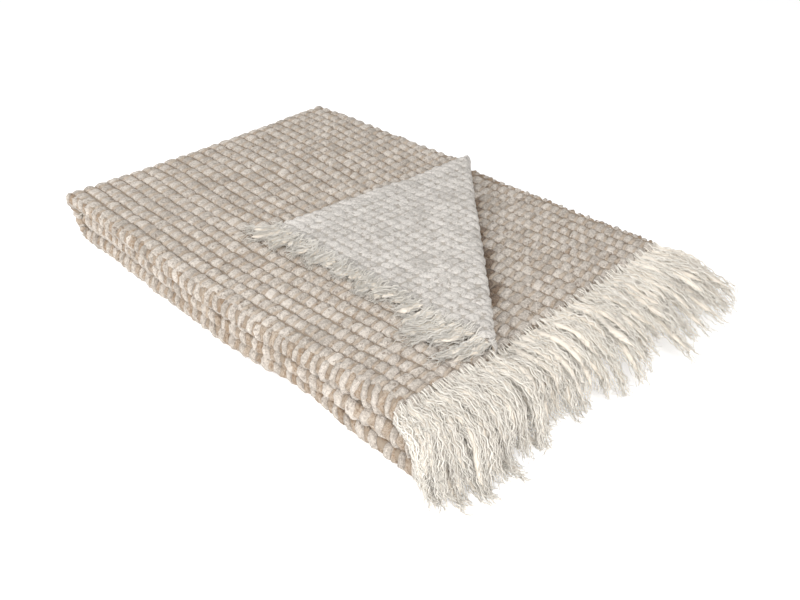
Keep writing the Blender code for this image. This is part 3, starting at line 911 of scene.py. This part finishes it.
def lay_strands(
    name, bundle, lane, rng, tone, share, far, rings, radius, material, flat=1.0, over=False, swirl=0.0
):
    """Thin strands that wander round their clump's line, from one share of its length to another.

    share and far are two by clumps by strands: where each strand starts and ends, and how far from
    its clump's middle it is there. It keeps its place in the clump's section, which turns slowly,
    narrows a little from the root and opens at the tip; two waves of its own are added. flat is
    how thick that section is, over says whether some roots cross over the cloth's last beads, and
    swirl turns each strand by an angle of its own.
    """
    clumps, strands = share[0].shape
    many = clumps * strands
    clump = np.repeat(np.arange(clumps), strands)
    t = np.linspace(0, 1, rings)[None, :]
    start, finish = share.reshape(2, many, 1)
    s = start + (finish - start) * t
    near, wide_of = far.reshape(2, many, 1)
    spread = near + (wide_of - near) * smooth(t * 1.1)
    way = rng.uniform(0, 2 * math.pi, many)
    turned = way[:, None] + np.repeat(rng.uniform(-2.6, 2.6, clumps), strands)[:, None] * s
    turned = turned + swirl * rng.uniform(-1, 1, many)[:, None] * t
    wide = lane * (0.68 - 0.24 * smooth(s / 0.75) + 0.08 * smooth((s - 0.78) / 0.22))
    thick = flat * (0.0026 + 0.0018 * smooth(s / 0.35))
    sideways = spread * np.cos(turned) * wide
    upwards = spread * np.sin(turned) * thick
    cycles = bundle.length[clump] / 0.1
    for low, high, size in ((0.8, 2.0, 0.0013), (6.0, 11.0, 0.0010)):
        phase = rng.uniform(0, 2 * math.pi, (2, many, 1))
        wave = 2 * math.pi * (rng.uniform(low, high, many) * cycles)[:, None] * s
        size = size * smooth(s * 6)
        sideways = sideways + size * np.sin(wave + phase[0])
        upwards = upwards + 0.8 * size * np.sin(wave + phase[1])
    lifted = ROOT_LIFT * over * (rng.random(many) < LIFTED_SHARE)[:, None]
    upwards = upwards + lifted * (1 - smooth(s * bundle.length[clump][:, None] / LIFTED_OVER))
    lines, side = at_clump(bundle, clump, s, sideways, upwards)
    thin = rng.uniform(0.55, 1.2, many)[:, None] * radius
    radii = thin * (1 - 0.2 * smooth((t - 0.6) / 0.4))
    tint = np.repeat(tone, strands) + rng.uniform(-0.16, 0.18, many)
    lengths = bundle.length[clump] * (finish - start)[:, 0]
    return tubes(name, lines, np.stack((radii, radii), axis=-1), 3, lengths, tint, side, material)


def lay_fringe(tier, seed):
    """Clumps of loosely spun yarn: a soft core in each, crimped strands over it and fine fuzz."""
    rng = np.random.default_rng(seed)
    bundle, lane = hang_clumps(tier, rng)
    clumps = tier.clumps
    tone = rng.uniform(0.42, 0.72, clumps)
    material = FLAP_FINISH if tier.fall == "lie" else STRAND_FINISH
    pieces = []
    if tier.fall != "level":
        s = 0.90 * np.linspace(0, 1, CORE_RINGS)[None, :] + np.zeros((clumps, 1))
        phase = rng.uniform(0, 6.3, (2, clumps, 1))
        sway = 0.0012 * np.sin(9 * s + phase[0]) * smooth(s * 5)
        lines, side = at_clump(bundle, np.arange(clumps), s, sway, 0 * s)
        swell = (1 + 0.16 * np.sin(13 * s + phase[1])) * np.sqrt(1.02 - smooth((s - 0.68) / 0.22))
        swell = swell * rng.uniform(0.84, 1.12, (clumps, CORE_RINGS))
        thick = (0.0014 + 0.0007 * smooth(s / 0.3)) * swell
        wide = lane * (0.44 - 0.06 * smooth(s / 0.5)) * swell
        pieces.append(tubes(
            tier.node + "_clumps", lines, np.stack((thick, wide), axis=-1), CORE_SIDES, bundle.length,
            tone, side, CORE_SHADE_FINISH,
        ))
    shape = (clumps, tier.strands)
    finish = rng.uniform(0.86, 1.0, shape) * np.where(rng.random(shape) < 0.12, 0.8, 1.0)
    start = rng.uniform(0, 0.8 * ROOT_INSIDE[tier.fall] / tier.length, shape)
    far = rng.uniform(0.35, 1, shape) ** 0.5
    stray = far * np.where(rng.random(shape) < 0.18, 1.7, 1.0)
    pieces.append(lay_strands(
        tier.node + "_strands", bundle, lane, rng, tone, np.stack((start, finish)),
        np.stack((far, stray)), tier.rings, STRAND_RADIUS, material,
        flat=0.4 if tier.fall == "level" else 1.0, over=tier.fall != "level",
    ))
    if tier.fuzz:
        shape = (clumps, tier.fuzz)
        start = rng.uniform(0.04, 1, shape) ** 0.8 * 0.95
        finish = start + rng.uniform(0.05, 0.10, shape) * 0.1 / tier.length
        pieces.append(lay_strands(
            tier.node + "_fuzz", bundle, lane, rng, tone, np.stack((start, finish)),
            np.stack((0.8 + 0 * start, rng.uniform(0.9, 1.7, shape))), 4, FUZZ_RADIUS, material,
            swirl=2.0,
        ))
    for piece in pieces:
        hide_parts(tier.node)
    return pieces


fringes = [piece for seed, tier in enumerate(TIERS, 50) for piece in lay_fringe(tier, seed)]


# The floor, the light and the camera


def lay_floor():
    """A wide white table top, lit so that it reads as white as its backdrop."""
    finish = Finish("floor_white", 0.8, 0.0, (1, 1, 1))
    place = finish.node("TexCoord", (), (), 3)
    finish.wear(finish.blended(finish.noise(place, 3.0), (0.93, 0.93, 0.93), (0.95, 0.95, 0.95)))
    finish.shader.inputs["Emission Color"].default_value = (1, 1, 1, 1)
    finish.shader.inputs["Emission Strength"].default_value = 0.33
    mesh = bpy.data.meshes.new("floor")
    reach = 12.0
    corners = [(-reach, -reach, 0), (reach, -reach, 0), (reach, reach, 0), (-reach, reach, 0)]
    mesh.from_pydata(corners, [], [(0, 1, 2, 3)])
    mesh.materials.append(finish.material)
    floor = bpy.data.objects.new("floor", mesh)
    bpy.context.scene.collection.objects.link(floor)


def add_light(name, place, aim, size, power):
    """A square soft light at a place, turned to what it aims at."""
    light = bpy.data.lights.new(name, "AREA")
    light.size = size
    light.energy = power
    lamp = bpy.data.objects.new(name, light)
    lamp.location = place
    way = np.array(aim, float) - np.array(place, float)
    flat = math.hypot(way[0], way[1])
    lamp.rotation_euler = (math.atan2(flat, -way[2]), 0, math.atan2(-way[0], way[1]))
    bpy.context.scene.collection.objects.link(lamp)


lay_floor()
add_light("left_softbox", (-0.85, -1.45, 0.96), (0, 0, 0), 0.8, 19)
add_light("right_fill", (1.05, -0.78, 0.90), (0.1, -0.05, 0.03), 0.9, 16)

world = bpy.data.worlds.new("studio")
world.use_nodes = True
backdrop = world.node_tree.nodes["Background"]
backdrop.inputs["Color"].default_value = (1, 1, 1, 1)
backdrop.inputs["Strength"].default_value = 0.63
bpy.context.scene.world = world
bpy.context.scene.view_settings.view_transform = "Standard"

camera = bpy.data.cameras.new("camera")
camera.sensor_width = 36
camera.lens = 35.2
camera.clip_start = 0.01
eye = bpy.data.objects.new("camera", camera)
eye.location = (0.576, -0.564, 0.485)
eye.rotation_euler = (math.radians(57.1), 0, math.radians(43.6))
bpy.context.scene.collection.objects.link(eye)
bpy.context.scene.camera = eye
